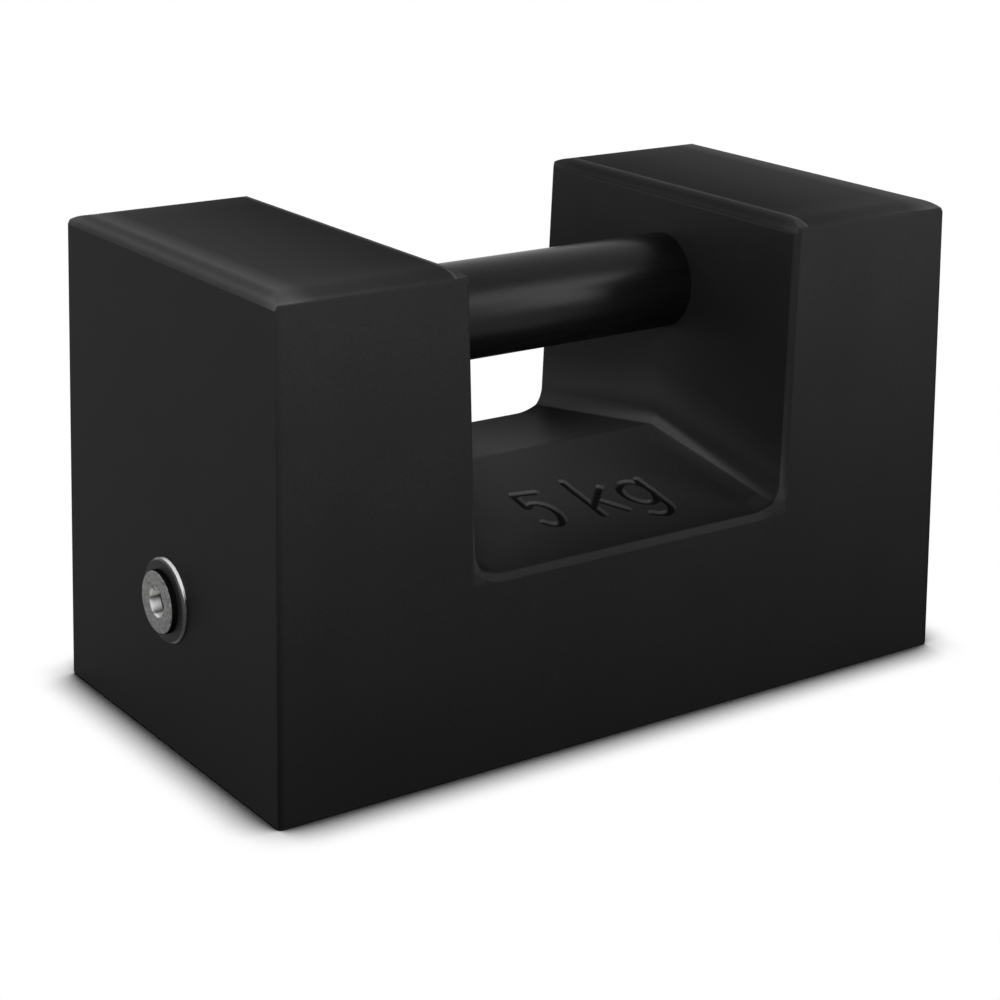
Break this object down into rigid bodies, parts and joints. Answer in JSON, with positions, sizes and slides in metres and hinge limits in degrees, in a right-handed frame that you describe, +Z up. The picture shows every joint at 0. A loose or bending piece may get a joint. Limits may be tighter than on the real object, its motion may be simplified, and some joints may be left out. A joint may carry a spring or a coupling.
{
  "type": "calibration weight",
  "caption": "Rectangular bar calibration weight: black iron block with a recess across its top, a round grip bar between the posts and a screwed plug over its adjusting cavity.",
  "frame": {"origin": "centre of the flat base, on the surface that the weight stands on", "axes": "+X along the block, away from the end with the plug; -Y out of the face that the picture shows; +Z up"},
  "size_m": [0.1459, 0.077, 0.0876],
  "materials": {
    "body": "satin",
    "handle": "satin",
    "sealing_ring": "satin",
    "adjusting_plug": "satin",
    "lead_shot": "matte"
  },
  "bodies": {
    "root": {"body": "body", "handle": "handle", "sealing_ring": "sealing_ring", "adjusting_plug": "adjusting_plug", "lead_shot": "lead_shot"}
  },
  "joints": []
}
